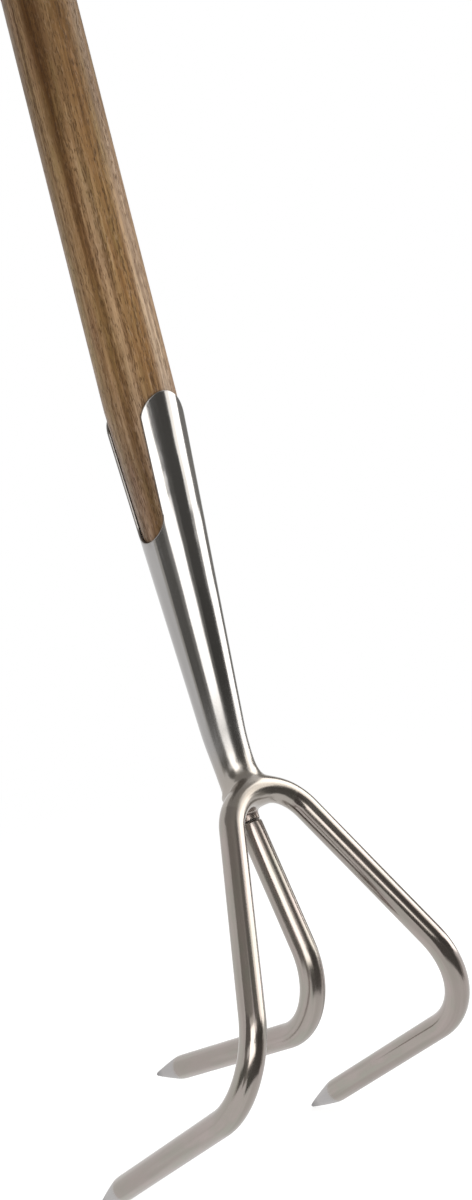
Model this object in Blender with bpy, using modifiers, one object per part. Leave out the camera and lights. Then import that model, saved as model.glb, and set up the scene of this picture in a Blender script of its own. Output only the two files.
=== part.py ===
"""Three-prong garden cultivator: an ash handle in a strapped stainless socket, with three bent tines.

Metres, +Z up. The tool stands on its outer tips with the handle along Z; the tips point to -Y.
Everything is modelled about the handle's axis and then moved back as one, so that the origin
lies under the middle of the tool. X = 0 is the mirror plane.
"""
import bpy
import bmesh
from math import ceil, cos, pi, radians, sin, tan
from mathutils import Vector

# Driving dimensions, in metres and radians

TOTAL_HEIGHT = 1.550            # lowest point of the outer tines to the butt end of the handle
GAP = 0.0003                    # clearance between pieces that seat on each other

HANDLE_DIAMETER = 0.0300
BUTT_ROUND = 0.0090             # radius of the rounded rim at the butt end
HANDLE_CHAMFER = 0.0012         # at the seated end
HANDLE_SEAT_Z = 0.1870          # seated end of the handle

STRAP_TOP_Z = 0.3060            # highest point of the two straps
STRAP_TOP_DIAMETER = 0.0331     # the socket's cone at that height, over its outside
NECK_TOP_Z = 0.1720             # where the straight cone turns into the neck
NECK_TOP_DIAMETER = 0.0178
SOCKET_WALL = 0.0012
SOCKET_FLOOR_Z = 0.1800         # bottom of the hollow that takes the handle
SOCKET_FLOOR_DISH = 0.0028
STRAP_ROUND = 0.0115            # radius of each strap's semicircular top
WINDOW_ROUND = 0.0091           # radius of the U at the foot of each window
WINDOW_FOOT_Z = 0.2495          # lowest point of the windows
WINDOW_TOP_WIDTH = 0.0242       # windows at the height of the straps' tops

NECK_DIAMETER = 0.0157          # just above the arch
NECK_AHEAD = 0.0076             # the neck's foot stands this far in front of the arch's centreline
NECK_DROP = 0.0030              # its rounding begins this far below that centreline
NECK_FOOT_DEPTH = 0.0040        # height of the rounded foot
SADDLE_DIAMETER = 0.0142        # saddle over the arch, at its middle
SADDLE_WALL = 0.0004            # thickness under the arch and at both ends
SADDLE_REACH = 0.0160           # length along the arch, each way
FLARE_TOP_Z = 0.1610            # where the neck begins to widen over the saddle
FLARE_END_RISE = 0.0030         # the flare ends inside the saddle, this far above the centreline
FLARE_WIDTH = 0.0240            # at its end, along the arch
FLARE_DEPTH = 0.0090            # at its end, across the arch

ROD_DIAMETER = 0.0100
TIP_LENGTH = 0.0120             # ground point of each tine
TIP_DIAMETER = 0.0012
TIP_SHOULDER_LENGTH = 0.0016    # soft shoulder behind the point
TIP_SHOULDER_DIAMETER = 0.0092

ARCH_APEX_Z = 0.1755            # where the lines of the two outer legs would cross the handle's axis
ARCH_RADIUS = 0.0225            # bend over the top, on the rod's centreline
OUTER_BEND_WIDTH = 0.1216       # between the corners of the two outer centrelines
OUTER_BEND_BACK = 0.0459        # those corners behind the handle's axis
OUTER_BEND_RADIUS = 0.0300
OUTER_TIP_WIDTH = 0.1162
OUTER_TIP_AHEAD = 0.0757        # outer tips in front of the handle's axis
OUTER_PITCH = radians(20.0)     # fall of the outer prongs towards their tips

MIDDLE_BEND_BACK = 0.0229
MIDDLE_BEND_RADIUS = 0.0275
MIDDLE_TIP_AHEAD = 0.1018
MIDDLE_TIP_Z = 0.0338
MIDDLE_PITCH = radians(9.2)
MIDDLE_TOP_AHEAD = 0.0011       # the tine's cut end in front of the neck's foot
WELD_LENGTH = 0.0040            # between the neck's foot and the tine's cut end
WELD_TOP_DIAMETER = 0.0136      # the weld where it meets the neck

SCREW_Z = 0.2860                # fixing screw through the front strap
SCREW_LENGTH = 0.0180
SCREW_DIAMETER = 0.0038
SCREW_POINT_LENGTH = 0.0040
SCREW_POINT_DIAMETER = 0.0010
SCREW_HEAD_DIAMETER = 0.0078
SCREW_HEAD_DEPTH = 0.0020
SCREW_HEAD_RISE = 0.0004        # dome of the head over the strap

# Fineness of round pieces

TURN_STEPS = 48
SWEEP_SIDES = 32
ROD_SIDES = 24
BEND_STEP = radians(7.5)
ARC_STEPS = 10
BLEND_STEPS = 8

# Sizes that follow from the driving dimensions

ROD_RADIUS = ROD_DIAMETER / 2
NECK_TOP_RADIUS = NECK_TOP_DIAMETER / 2
CONE_SLOPE = (STRAP_TOP_DIAMETER - NECK_TOP_DIAMETER) / 2 / (STRAP_TOP_Z - NECK_TOP_Z)
CUT_REACH = 2 * STRAP_TOP_DIAMETER
ABOVE_STRAPS = STRAP_TOP_Z + SOCKET_WALL

TIP_SHOULDER_START = TIP_LENGTH - TIP_SHOULDER_LENGTH
TIP_PROFILE = (                 # distance from the tip and radius
    (0.0, TIP_DIAMETER / 2),
    (TIP_SHOULDER_START, TIP_SHOULDER_DIAMETER / 2),
    (TIP_LENGTH, ROD_RADIUS),
)
OUTER_TIP_Z = max(radius * cos(OUTER_PITCH) - far * sin(OUTER_PITCH) for far, radius in TIP_PROFILE)
OUTER_BEND_Z = OUTER_TIP_Z + (OUTER_BEND_BACK + OUTER_TIP_AHEAD) * tan(OUTER_PITCH)
MIDDLE_BEND_Z = MIDDLE_TIP_Z + (MIDDLE_BEND_BACK + MIDDLE_TIP_AHEAD) * tan(MIDDLE_PITCH)
ARCH_APEX = Vector((0.0, 0.0, ARCH_APEX_Z))
RIGHT_BEND = Vector((OUTER_BEND_WIDTH / 2, OUTER_BEND_BACK, OUTER_BEND_Z))
RIGHT_TIP = Vector((OUTER_TIP_WIDTH / 2, -OUTER_TIP_AHEAD, OUTER_TIP_Z))
MIDDLE_BEND = Vector((0.0, MIDDLE_BEND_BACK, MIDDLE_BEND_Z))
MIDDLE_TIP = Vector((0.0, -MIDDLE_TIP_AHEAD, MIDDLE_TIP_Z))
MIRROR = Vector((-1.0, 1.0, 1.0))

ASH = (0.28, 0.17, 0.09, 1.0)
POLISHED_STEEL = (0.70, 0.69, 0.67, 1.0)
SATIN_STEEL = (0.60, 0.58, 0.56, 1.0)
SCREW_STEEL = (0.55, 0.55, 0.54, 1.0)


# Centrelines: straight runs with an arc at each corner

def bend(before, corner, after, radius):
    """Centre of the arc that rounds a corner, and the unit vectors to its start and along the run."""
    back = (before - corner).normalized()
    ahead = (after - corner).normalized()
    half_opening = back.angle(ahead) / 2
    centre = corner + (back + ahead).normalized() * (radius / sin(half_opening))
    start = corner + back * (radius / tan(half_opening))
    return centre, (start - centre).normalized(), -back, pi - 2 * half_opening


def bend_points(before, corner, after, radius):
    centre, outward, along, turn = bend(before, corner, after, radius)
    count = ceil(turn / BEND_STEP)
    angles = [turn * i / count for i in range(count + 1)]
    return [centre + radius * (cos(angle) * outward + sin(angle) * along) for angle in angles]


def pointed_end(tip, inward):
    """Stations of a ground tip: its centreline points and radii, from the point inwards."""
    direction = (inward - tip).normalized()
    return [(tip + direction * far, radius) for far, radius in TIP_PROFILE]


def outer_stations(grow=0.0):
    """Stations along the one rod that makes both outer tines, tip to tip over the arch."""
    left_bend = RIGHT_BEND * MIRROR
    left_tip = RIGHT_TIP * MIRROR
    path = bend_points(RIGHT_TIP, RIGHT_BEND, ARCH_APEX, OUTER_BEND_RADIUS)
    path += bend_points(RIGHT_BEND, ARCH_APEX, left_bend, ARCH_RADIUS)
    path += bend_points(ARCH_APEX, left_bend, left_tip, OUTER_BEND_RADIUS)
    stations = pointed_end(RIGHT_TIP, path[0])
    stations += [(point, ROD_RADIUS) for point in path]
    stations += reversed(pointed_end(left_tip, path[-1]))
    return grown(stations, grow)


def arch_top():
    """Centre of the bend over the top, and the unit vector from it up to the rod's centreline."""
    left_bend = RIGHT_BEND * MIRROR
    centre = bend(RIGHT_BEND, ARCH_APEX, left_bend, ARCH_RADIUS)[0]
    return centre, (ARCH_APEX - centre).normalized()


def neck_foot():
    """Centre of the neck where its rounded foot begins, in front of the arch."""
    centre, up = arch_top()
    return centre + up * ARCH_RADIUS - Vector((0.0, NECK_AHEAD, NECK_DROP))


def neck_station(z):
    """Centre and radius of the neck at a height; it leans back in a smooth curve to the arch."""
    foot = neck_foot()
    share = (NECK_TOP_Z - z) / (NECK_TOP_Z - foot.z)
    radius = NECK_DIAMETER / 2 + (NECK_TOP_RADIUS - NECK_DIAMETER / 2) * (1.0 - share) ** 1.5
    return Vector((0.0, foot.y * share ** 1.6, z)), radius


def neck_stations(grow=0.0):
    """The neck from the cone down to its round foot in front of the arch."""
    foot = neck_foot()
    fall = NECK_TOP_Z - foot.z
    stations = [neck_station(NECK_TOP_Z - fall * i / BLEND_STEPS) for i in range(BLEND_STEPS + 1)]
    for angle in (radians(25.0), radians(45.0), radians(65.0)):
        centre = foot - Vector((0.0, 0.0, NECK_FOOT_DEPTH * sin(angle)))
        stations.append((centre, NECK_DIAMETER / 2 * cos(angle)))
    return grown(stations, grow)


def flare_sections():
    """Ovals that widen from the round neck to the back of the saddle, like a cast fillet."""
    centre, up = arch_top()
    crown = centre + up * ARCH_RADIUS
    end_z = crown.z + FLARE_END_RISE
    sections = []
    for i in range(BLEND_STEPS + 1):
        share = i / BLEND_STEPS
        swell = 1.0 - (1.0 - share ** 2) ** 0.5
        middle, radius = neck_station(FLARE_TOP_Z + (end_z - FLARE_TOP_Z) * share)
        middle.y += (crown.y - middle.y) * swell
        half_width = radius + (FLARE_WIDTH / 2 - radius) * swell
        half_depth = radius + (FLARE_DEPTH / 2 - radius) * swell
        sections.append((middle, half_width, half_depth))
    return sections


def saddle_stations(grow=0.0):
    """The saddle that wraps the arch: tall where the neck lands on it, thin at both ends."""
    centre, up = arch_top()
    side = Vector((1.0, 0.0, 0.0))
    inside = ROD_RADIUS + GAP + SADDLE_WALL
    stations = []
    for i in range(-BLEND_STEPS, BLEND_STEPS + 1):
        swell = (1.0 + cos(pi * i / BLEND_STEPS)) / 2
        angle = i / BLEND_STEPS * SADDLE_REACH / ARCH_RADIUS
        outward = sin(angle) * side + cos(angle) * up
        rise = (SADDLE_DIAMETER / 2 - inside) * swell
        stations.append((centre + outward * (ARCH_RADIUS + rise), inside + rise))
    return grown(stations, grow)


def middle_top():
    """Centre of the middle tine's cut end, under the neck's foot."""
    return neck_foot() - Vector((0.0, MIDDLE_TOP_AHEAD, NECK_FOOT_DEPTH + WELD_LENGTH))


def weld_stations():
    """The weld leaves the cut end square, widens and turns up into the neck's foot."""
    top = middle_top()
    along = (top - MIDDLE_BEND).normalized()
    start = top + along * GAP
    corner = start + along * WELD_LENGTH
    spread = WELD_TOP_DIAMETER / 2 - ROD_RADIUS
    stations = [(start, ROD_RADIUS), (start + along * GAP, ROD_RADIUS)]
    for i in range(1, BLEND_STEPS + 1):
        share = i / BLEND_STEPS
        centre = start.lerp(corner, share).lerp(corner.lerp(neck_foot(), share), share)
        stations.append((centre, ROD_RADIUS + spread * share ** 1.5))
    return stations


def grown(stations, grow):
    return [(centre, radius + grow) for centre, radius in stations]


def cone_radius(z):
    """Outer radius of the socket's straight cone at a height."""
    return NECK_TOP_RADIUS + CONE_SLOPE * (z - NECK_TOP_Z)


# Building blocks

def clear_scene():
    for obj in list(bpy.data.objects):
        bpy.data.objects.remove(obj, do_unlink=True)


def make_collection(name):
    collection = bpy.data.collections.new(name)
    bpy.context.scene.collection.children.link(collection)
    return collection


def make_material(name, colour, roughness, metallic):
    material = bpy.data.materials.new(name)
    material.use_nodes = True
    shader = material.node_tree.nodes["Principled BSDF"]
    shader.inputs["Base Color"].default_value = colour
    shader.inputs["Roughness"].default_value = roughness
    shader.inputs["Metallic"].default_value = metallic
    material.diffuse_color = colour
    return material


def add_object(name, data, collection):
    obj = bpy.data.objects.new(name, data)
    collection.objects.link(obj)
    return obj


def mesh_from_curve(curve, collection, rotation=(0.0, 0.0, 0.0)):
    """Turn a curve into a closed mesh object of the same name, with its caps welded on."""
    source = add_object(curve.name + "_curve", curve, collection)
    source.rotation_euler = rotation
    graph = bpy.context.evaluated_depsgraph_get()
    mesh = bpy.data.meshes.new_from_object(source.evaluated_get(graph))
    matrix = source.matrix_world.copy()
    bpy.data.objects.remove(source, do_unlink=True)
    form = bmesh.new()
    form.from_mesh(mesh)
    bmesh.ops.remove_doubles(form, verts=form.verts, dist=1e-6)
    bmesh.ops.recalc_face_normals(form, faces=form.faces)
    form.to_mesh(mesh)
    form.free()
    obj = add_object(curve.name, mesh, collection)
    obj.matrix_world = matrix
    return obj


def sweep(name, stations, sides, collection):
    """A round rod of varying radius through (centre, radius) stations."""
    curve = bpy.data.curves.new(name, "CURVE")
    curve.dimensions = "3D"
    curve.bevel_depth = 1.0
    curve.bevel_resolution = (sides - 4) // 2
    curve.use_fill_caps = True
    spline = curve.splines.new("POLY")
    spline.points.add(len(stations) - 1)
    for point, (centre, radius) in zip(spline.points, stations):
        point.co = (*centre, 1.0)
        point.radius = radius
    obj = mesh_from_curve(curve, collection)
    obj.data.shade_smooth()
    obj.data.set_sharp_from_angle(angle=radians(35))
    return obj


def turned(name, profile, steps, collection):
    """A solid of revolution about its own Z, from (radius, z) points down its outer side."""
    mesh = bpy.data.meshes.new(name)
    edges = [(i, i + 1) for i in range(len(profile) - 1)]
    mesh.from_pydata([(radius, 0.0, z) for radius, z in profile], edges, [])
    obj = add_object(name, mesh, collection)
    screw = obj.modifiers.new("Turn", "SCREW")
    screw.axis = "Z"
    screw.steps = steps
    screw.render_steps = steps
    screw.use_merge_vertices = True
    screw.merge_threshold = 0.000001
    screw.use_smooth_shade = True
    return obj


def oval_loft(name, sections, sides, collection):
    """A solid through level ovals, each given as (centre, half width, half depth)."""
    form = bmesh.new()
    rings = []
    for centre, half_width, half_depth in sections:
        turns = [2 * pi * i / sides for i in range(sides)]
        spots = [Vector((half_width * cos(t), half_depth * sin(t), 0.0)) for t in turns]
        rings.append([form.verts.new(centre + spot) for spot in spots])
    for upper, lower in zip(rings, rings[1:]):
        for i in range(sides):
            form.faces.new((upper[i], upper[i - 1], lower[i - 1], lower[i]))
    form.faces.new(rings[0])
    form.faces.new(list(reversed(rings[-1])))
    bmesh.ops.recalc_face_normals(form, faces=form.faces)
    mesh = bpy.data.meshes.new(name)
    form.to_mesh(mesh)
    form.free()
    obj = add_object(name, mesh, collection)
    obj.data.shade_smooth()
    return obj


def cut_plate(name, outline, facing, collection):
    """A cutter with an outline given in (across, up), running right through along X or Y."""
    curve = bpy.data.curves.new(name, "CURVE")
    curve.dimensions = "2D"
    curve.fill_mode = "BOTH"
    curve.extrude = CUT_REACH / 2
    spline = curve.splines.new("POLY")
    spline.points.add(len(outline) - 1)
    for point, (across, up) in zip(spline.points, outline):
        point.co = (across, up, 0.0, 1.0)
    spline.use_cyclic_u = True
    turn = {"X": radians(90), "Y": 0.0}[facing]
    return mesh_from_curve(curve, collection, (radians(90), 0.0, turn))


def combine(target, other, operation):
    """Join another form to the target, or cut it away; the other one stays as a wire guide."""
    other.hide_render = True
    other.display_type = "WIRE"
    boolean = target.modifiers.new(operation.title() + " " + other.name, "BOOLEAN")
    boolean.operation = operation
    boolean.object = other


def arc(across, up, radius, start, end, steps):
    """Points of an arc in a profile or outline, with its angles in degrees."""
    angles = [radians(start + (end - start) * i / steps) for i in range(steps + 1)]
    return [(across + radius * cos(angle), up + radius * sin(angle)) for angle in angles]


# The pieces

def build_handle(parts, cutters, material):
    """Round ash shaft with a domed butt, tapered where it sits in the socket."""
    radius = HANDLE_DIAMETER / 2
    inset = SOCKET_WALL + GAP
    taper_z = NECK_TOP_Z + (radius + inset - NECK_TOP_RADIUS) / CONE_SLOPE
    chamfer_z = HANDLE_SEAT_Z + HANDLE_CHAMFER
    profile = [(0.0, TOTAL_HEIGHT)]
    profile += arc(radius - BUTT_ROUND, TOTAL_HEIGHT - BUTT_ROUND, BUTT_ROUND, 90, 0, ARC_STEPS)
    profile += [
        (radius, taper_z),
        (cone_radius(chamfer_z) - inset, chamfer_z),
        (cone_radius(HANDLE_SEAT_Z) - inset - HANDLE_CHAMFER, HANDLE_SEAT_Z),
        (0.0, HANDLE_SEAT_Z),
    ]
    handle = turned("handle", profile, TURN_STEPS, parts)
    combine(handle, screw_form("pilot_hole_cutter", cutters, GAP), "DIFFERENCE")
    handle.data.materials.append(material)


def build_socket(parts, cutters, material):
    """Tapered socket: a hollow cone with two straps above, a solid neck and a saddle below."""
    levels = (STRAP_TOP_Z, SCREW_Z + SCREW_HEAD_DIAMETER, SCREW_Z - SCREW_HEAD_DIAMETER, WINDOW_FOOT_Z)
    cone = [(Vector((0.0, 0.0, z)), cone_radius(z)) for z in levels]
    socket = sweep("socket", cone + neck_stations(), SWEEP_SIDES, parts)

    floor_radius = cone_radius(SOCKET_FLOOR_Z) - SOCKET_WALL
    hollow = turned("socket_hollow_cutter", [
        (0.0, ABOVE_STRAPS),
        (cone_radius(ABOVE_STRAPS) - SOCKET_WALL, ABOVE_STRAPS),
        (floor_radius, SOCKET_FLOOR_Z),
        (floor_radius / 2, SOCKET_FLOOR_Z - SOCKET_FLOOR_DISH * 0.75),
        (0.0, SOCKET_FLOOR_Z - SOCKET_FLOOR_DISH),
    ], TURN_STEPS, cutters)
    combine(socket, hollow, "DIFFERENCE")

    window = arc(0.0, WINDOW_FOOT_Z + WINDOW_ROUND, WINDOW_ROUND, 180, 360, 2 * ARC_STEPS)
    window += [(WINDOW_TOP_WIDTH / 2, ABOVE_STRAPS), (-WINDOW_TOP_WIDTH / 2, ABOVE_STRAPS)]
    combine(socket, cut_plate("window_cutter", window, "X", cutters), "DIFFERENCE")

    shoulder_z = STRAP_TOP_Z - STRAP_ROUND
    notch = arc(0.0, shoulder_z, STRAP_ROUND, 180, 0, 2 * ARC_STEPS)
    notch += [(CUT_REACH / 2, shoulder_z), (CUT_REACH / 2, ABOVE_STRAPS)]
    notch += [(-CUT_REACH / 2, ABOVE_STRAPS), (-CUT_REACH / 2, shoulder_z)]
    combine(socket, cut_plate("strap_top_cutter", notch, "Y", cutters), "DIFFERENCE")

    saddle = sweep("saddle_form", saddle_stations(), SWEEP_SIDES, cutters)
    combine(socket, saddle, "UNION")
    flare = oval_loft("saddle_flare_form", flare_sections(), SWEEP_SIDES, cutters)
    combine(socket, flare, "UNION")
    arch = sweep("arch_seat_cutter", outer_stations(GAP), ROD_SIDES, cutters)
    combine(socket, arch, "DIFFERENCE")
    combine(socket, screw_form("strap_hole_cutter", cutters, GAP), "DIFFERENCE")
    socket.data.materials.append(material)


def build_outer_tines(parts, material):
    """Both outer tines and the arch between them, bent from one rod."""
    tines = sweep("outer_tines", outer_stations(), ROD_SIDES, parts)
    tines.data.materials.append(material)


def build_middle_tine(parts, material):
    """The middle tine, bent once and cut square under the neck."""
    path = bend_points(MIDDLE_TIP, MIDDLE_BEND, middle_top(), MIDDLE_BEND_RADIUS)
    path.append(middle_top())
    stations = pointed_end(MIDDLE_TIP, path[0]) + [(point, ROD_RADIUS) for point in path]
    tine = sweep("middle_tine", stations, ROD_SIDES, parts)
    tine.data.materials.append(material)


def build_tine_weld(parts, cutters, material):
    """Weld that widens from the middle tine's cut end up to the neck's foot and the arch."""
    weld = sweep("tine_weld", weld_stations(), ROD_SIDES, parts)
    neck = sweep("neck_foot_cutter", neck_stations(GAP), SWEEP_SIDES, cutters)
    combine(weld, neck, "DIFFERENCE")
    saddle = sweep("saddle_cutter", saddle_stations(GAP), SWEEP_SIDES, cutters)
    combine(weld, saddle, "DIFFERENCE")
    arch = sweep("arch_cutter", outer_stations(GAP), ROD_SIDES, cutters)
    combine(weld, arch, "DIFFERENCE")
    weld.data.materials.append(material)


def screw_form(name, collection, grow=0.0):
    """Countersunk screw through the front strap, or with a clearance the hole that takes it."""
    head = SCREW_HEAD_DIAMETER / 2 + grow
    shank = SCREW_DIAMETER / 2 + grow
    if grow:
        profile = [(0.0, SCREW_HEAD_DEPTH), (head, SCREW_HEAD_DEPTH), (head, 0.0)]
    else:
        profile = [(0.0, SCREW_HEAD_RISE), (head / 2, SCREW_HEAD_RISE * 0.75), (head, 0.0)]
    profile += [
        (shank, -SCREW_HEAD_DEPTH),
        (shank, SCREW_POINT_LENGTH - SCREW_LENGTH),
        (SCREW_POINT_DIAMETER / 2 + grow, -SCREW_LENGTH - grow),
        (0.0, -SCREW_LENGTH - grow),
    ]
    screw = turned(name, profile, ROD_SIDES, collection)
    screw.location = (0.0, -cone_radius(SCREW_Z), SCREW_Z)
    screw.rotation_euler = (radians(90), 0.0, 0.0)
    return screw


def build_strap_screw(parts, material):
    screw = screw_form("strap_screw", parts)
    screw.data.materials.append(material)


def carry_on_frame(parts, cutters):
    """Move the whole tool so that the origin is under the middle of its outer box."""
    rear = max(centre.y for centre, radius in outer_stations()) + ROD_RADIUS
    front = MIDDLE_TIP_AHEAD + TIP_DIAMETER / 2 * sin(MIDDLE_PITCH)
    frame = bpy.data.objects.new("handle_axis", None)
    parts.objects.link(frame)
    frame.location = (0.0, (front - rear) / 2, 0.0)
    for obj in list(parts.objects) + list(cutters.objects):
        if obj is not frame:
            obj.parent = frame


def main():
    clear_scene()
    parts = make_collection("garden_cultivator")
    cutters = make_collection("cutters")
    build_handle(parts, cutters, make_material("oiled_ash", ASH, 0.45, 0.0))
    build_socket(parts, cutters, make_material("polished_socket", POLISHED_STEEL, 0.16, 1.0))
    build_outer_tines(parts, make_material("satin_outer_tines", SATIN_STEEL, 0.28, 1.0))
    build_middle_tine(parts, make_material("satin_middle_tine", SATIN_STEEL, 0.28, 1.0))
    build_tine_weld(parts, cutters, make_material("dressed_weld", SATIN_STEEL, 0.35, 1.0))
    build_strap_screw(parts, make_material("screw_steel", SCREW_STEEL, 0.30, 1.0))
    carry_on_frame(parts, cutters)


main()
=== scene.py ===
"""Looks of the garden cultivator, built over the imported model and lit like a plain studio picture."""
from math import atan2, ceil, cos, pi, radians, sin, sqrt, tan

import bmesh
import bpy
import numpy as np
from mathutils import Matrix, Vector


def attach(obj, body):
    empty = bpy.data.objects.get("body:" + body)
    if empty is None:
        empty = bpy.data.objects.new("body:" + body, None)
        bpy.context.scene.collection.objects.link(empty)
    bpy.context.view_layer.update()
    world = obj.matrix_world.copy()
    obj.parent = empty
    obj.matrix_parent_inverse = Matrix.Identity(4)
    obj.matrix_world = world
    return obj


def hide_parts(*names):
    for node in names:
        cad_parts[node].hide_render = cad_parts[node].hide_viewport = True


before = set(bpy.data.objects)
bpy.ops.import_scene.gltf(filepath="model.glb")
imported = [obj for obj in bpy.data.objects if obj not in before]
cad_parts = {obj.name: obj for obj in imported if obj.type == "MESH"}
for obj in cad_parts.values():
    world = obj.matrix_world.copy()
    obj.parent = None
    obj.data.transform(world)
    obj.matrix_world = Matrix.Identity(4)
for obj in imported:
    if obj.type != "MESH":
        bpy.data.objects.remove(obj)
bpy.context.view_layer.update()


# Sizes in metres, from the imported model; bends, points and welds are nearer to the real outline

AXIS_Y = 0.02935                # the handle's axis, on X = 0
GAP = 0.0003                    # between pieces that touch
ROD = 0.0050                    # radius of the tines
ARCH_APEX = (0.0, 0.1755)       # y from the handle's axis, and z
ARCH_RADIUS = 0.0213
OUTER_BEND = (0.0606, 0.0455, 0.0454)
OUTER_BEND_RADII = (0.0290, 0.0335)     # on +X and on -X, unequal as hand bending leaves them
OUTER_TIP = (0.0581, -0.0757, 0.0007)
MIDDLE_BEND = (0.0, 0.0229, 0.05398)
MIDDLE_BEND_RADIUS = 0.0275
MIDDLE_TIP = (0.0, -0.1018, 0.0338)

HANDLE_RADIUS = 0.0150
HANDLE_TOP = 1.5500
HANDLE_FOOT = 0.1870
BUTT_ROUND = 0.0090

CONE_TOP_Z = 0.3060
CONE_TOP_RADIUS = 0.01655
NECK_TOP_Z = 0.1720
NECK_TOP_RADIUS = 0.0089
WALL = 0.0012
STRAP_ROUND = 0.0115
WINDOW_FOOT_Z = 0.2495
WINDOW_ROUND = 0.0091
WINDOW_TOP_HALF = 0.0121
NECK_RADIUS = 0.00785
NECK_AHEAD = 0.0076
NECK_DROP = 0.0030
NECK_FOOT_DEPTH = 0.0040
WELD_LENGTH = 0.0051
MIDDLE_TOP_AHEAD = 0.0011
SCREW_Z = 0.2860
SCREW_HEAD_RADIUS = 0.0039
SCREW_HEAD_RISE = 0.0004        # of the head's middle over its rim
SCREW_PROUD = 0.00016           # the rim stands this far out of the strap

CONE_SLOPE = (CONE_TOP_RADIUS - NECK_TOP_RADIUS) / (CONE_TOP_Z - NECK_TOP_Z)
SHOULDER_Z = CONE_TOP_Z - STRAP_ROUND           # the straps' round tops start here
WINDOW_CENTRE_Z = WINDOW_FOOT_Z + WINDOW_ROUND  # centre of the windows' round feet
COLLAR_Z = 0.1745               # the straight cone above, the smooth skin below
HOLLOW_Z = 0.1830               # the socket's inner wall starts here, hidden by the handle
EDGE_ROUND = 0.0004             # radius of the straps' cut edges
PAINTED_EDGE_WIDTH = 0.00055             # width of the dark line painted along them, a painted reflection of the wood; the line is also rougher
REAR_PAINTED_EDGE_SHARE = 0.75          # how strong the painted dark line is on the strap that carries the screw

FLARE_REACH = 0.0155            # of the flare from neck to arch
FLARE_SUNK = 0.0018             # the flare runs into the arch this far below its surface
ARCH_REACH = 0.0018             # of the narrow fillet where arch and flare meet
WELD_REACH = 0.0050             # of the weld's fillet
STUB_RADIUS = 0.0046            # of the weld where the middle tine starts
STUB_LENGTH = 0.0120
STUB_FLARE = 0.10               # growth of its radius per length
SEAM_SHIFT = 0.0004             # the weld's seam lies this far up its fillet
SEAM_TOP_Z = 0.150              # and never above this height
BEAD_FADE = 0.0018              # the weld's tints fade out over this depth at the seam

BEND_STEP = radians(1.5)
RUN_STEP = 0.004                # longest straight run of a rod between two rings
ROD_SIDES = 96
ROUGH_SIDES = 32
COLUMNS = 96                    # faces across each strap
SKIN_VOXEL = 0.0005
ARCH_END = 1.02                 # how far round the arch the skin reaches, in radians
CREASE_REACH = 0.0022           # finer faces reach this far on both sides of the weld's fillet


# Small vector helpers

def vec(*parts):
    return np.array(parts, float)


def unit(v):
    return v / np.linalg.norm(v)


def from_axis(x, y, z):
    """A point given from the handle's axis, in the model's frame."""
    return vec(x, y + AXIS_Y, z)


def smooth_step(x, low, high):
    t = np.clip((x - low) / (high - low), 0.0, 1.0)
    return t * t * (3.0 - 2.0 * t)


# Camera, where the photograph was taken

def add_camera():
    right = Vector((-0.7479533, 0.6165303, -0.2458785))
    up = Vector((-0.1443851, 0.2104406, 0.9668856))
    back = Vector((0.6478571, 0.7586864, -0.0683820))
    place = Matrix((right, up, back)).transposed().to_4x4()
    place.translation = (0.4286, 0.5584, 0.1732)
    data = bpy.data.cameras.new("camera")
    data.sensor_width = 36.0
    data.lens = 51.67
    data.clip_start = 0.01
    camera = bpy.data.objects.new("camera", data)
    camera.matrix_world = place
    bpy.context.scene.collection.objects.link(camera)
    bpy.context.scene.camera = camera


# Node helpers

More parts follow.
